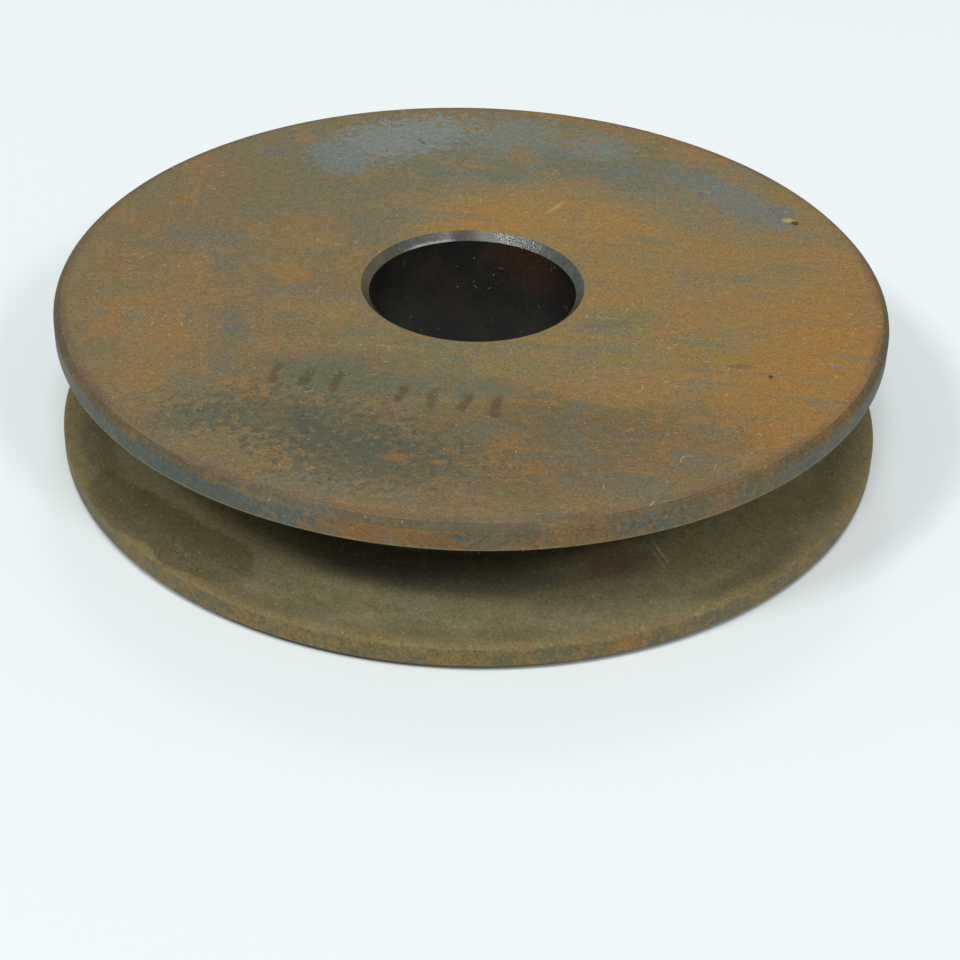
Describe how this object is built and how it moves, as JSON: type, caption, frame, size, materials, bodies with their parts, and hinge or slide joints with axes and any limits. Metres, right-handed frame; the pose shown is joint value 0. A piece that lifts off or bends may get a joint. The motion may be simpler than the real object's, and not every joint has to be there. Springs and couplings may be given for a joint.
{
  "type": "v belt pulley",
  "caption": "Flat steel idler pulley with a V groove round its rim and a plain bush pressed into its bore, with light rust, patches of mill scale and dust.",
  "frame": {"origin": "centre of the bore at the lower face, which the pulley lies on", "axes": "+Z along the shaft axis from the lower face to the upper face; the pulley is the same all round, so X and Y are free"},
  "size_m": [0.1016, 0.1016, 0.0196],
  "materials": {
    "rusted_plate": "hot rolled plate turned at the rim, thin brown rust over blue grey mill scale, dusty, matt",
    "oiled_bush_steel": "turned steel, dark with old oil in the bore, bare blue grey at the chamfered ends, satin"
  },
  "bodies": {
    "root": {"v_groove_sheave": "rusted_plate", "bore_bush": "oiled_bush_steel"}
  },
  "joints": []
}
